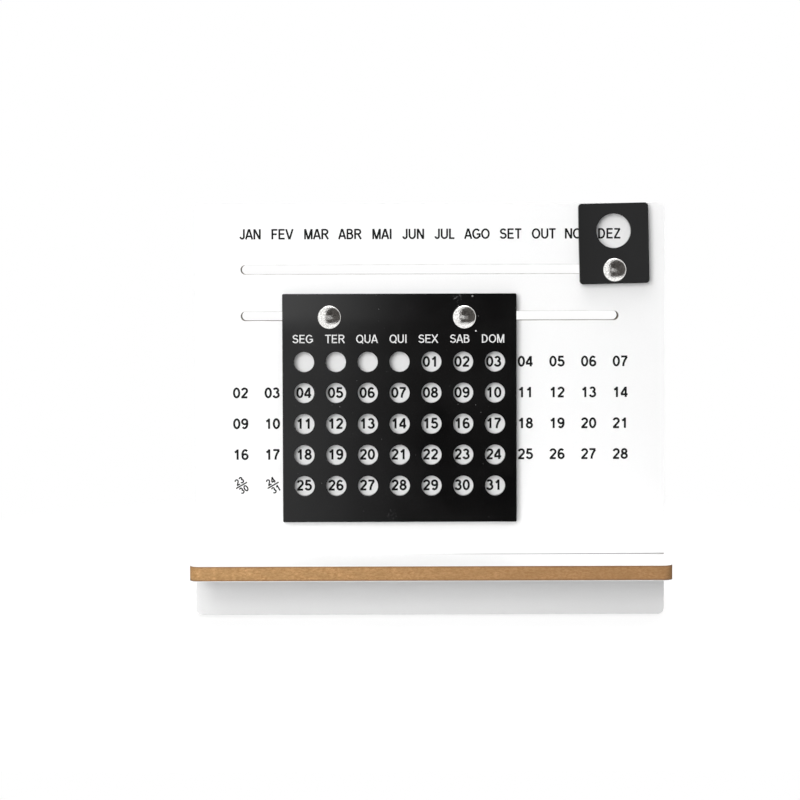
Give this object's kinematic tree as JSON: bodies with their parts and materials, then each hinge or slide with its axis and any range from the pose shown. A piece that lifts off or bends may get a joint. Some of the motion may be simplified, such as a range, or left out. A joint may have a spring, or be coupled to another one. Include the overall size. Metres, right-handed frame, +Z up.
{
  "type": "desk calendar with drawer",
  "caption": "Perpetual desk calendar: white board with two slots, sliding acrylic weekday panel and month marker, on a low base with a ledge and a flat drawer.",
  "frame": {"origin": "centre of the deck's outline at desk level, under the feet", "axes": "+X along the calendar's width to its right seen from the front, +Z up, the calendar and the drawer face -Y"},
  "size_m": [0.2, 0.11, 0.1769],
  "materials": {
    "white_faced_board": "white melamine faces, raw tan fibreboard edges",
    "plain_fibreboard": "unfinished medium density fibreboard, laser-browned edges",
    "black_acrylic": "glossy cast acrylic with light dust",
    "chrome_cap": "polished chrome plate",
    "plated_steel": "zinc-plated steel",
    "nylon": "matt natural nylon",
    "soft_pad": "soft translucent bumper pad"
  },
  "bodies": {
    "stand": {"deck": "white_faced_board", "calendar_board": "white_faced_board", "left_gusset": "white_faced_board", "right_gusset": "white_faced_board", "case_left_side": "plain_fibreboard", "case_right_side": "plain_fibreboard", "case_back": "plain_fibreboard", "case_bottom": "plain_fibreboard", "feet": "soft_pad"},
    "drawer": {"drawer_front": "white_faced_board", "drawer_inner_front": "plain_fibreboard", "drawer_left_side": "plain_fibreboard", "drawer_right_side": "plain_fibreboard", "drawer_back": "plain_fibreboard", "drawer_bottom": "plain_fibreboard", "drawer_front_screws": "plated_steel"},
    "weekday_slider": {"weekday_panel": "black_acrylic", "left_post_cap": "chrome_cap", "left_post_spacer": "nylon", "left_post_washer": "nylon", "left_post_screw": "plated_steel", "right_post_cap": "chrome_cap", "right_post_spacer": "nylon", "right_post_washer": "nylon", "right_post_screw": "plated_steel"},
    "month_slider": {"month_post_cap": "chrome_cap", "month_post_spacer": "nylon", "month_post_washer": "nylon", "month_post_screw": "plated_steel"},
    "month_flag": {"month_marker": "black_acrylic"}
  },
  "joints": [
    {"name": "drawer_slide", "type": "slide", "parent": "stand", "child": "drawer", "axis": [0, -1, 0], "range_m": [0, 0.05]},
    {"name": "weekday_slide", "type": "slide", "parent": "stand", "child": "weekday_slider", "axis": [1, 0, 0], "range_m": [-0.0359, 0.0638]},
    {"name": "month_slide", "type": "slide", "parent": "stand", "child": "month_slider", "axis": [1, 0, 0], "range_m": [-0.1567, 0.0002]},
    {"name": "month_tilt", "type": "hinge", "parent": "month_slider", "child": "month_flag", "pos_m": [0.07825, -0.0306, 0.14845], "axis": [0, -1, 0], "range_deg": [-13.2, 10.8]}
  ]
}
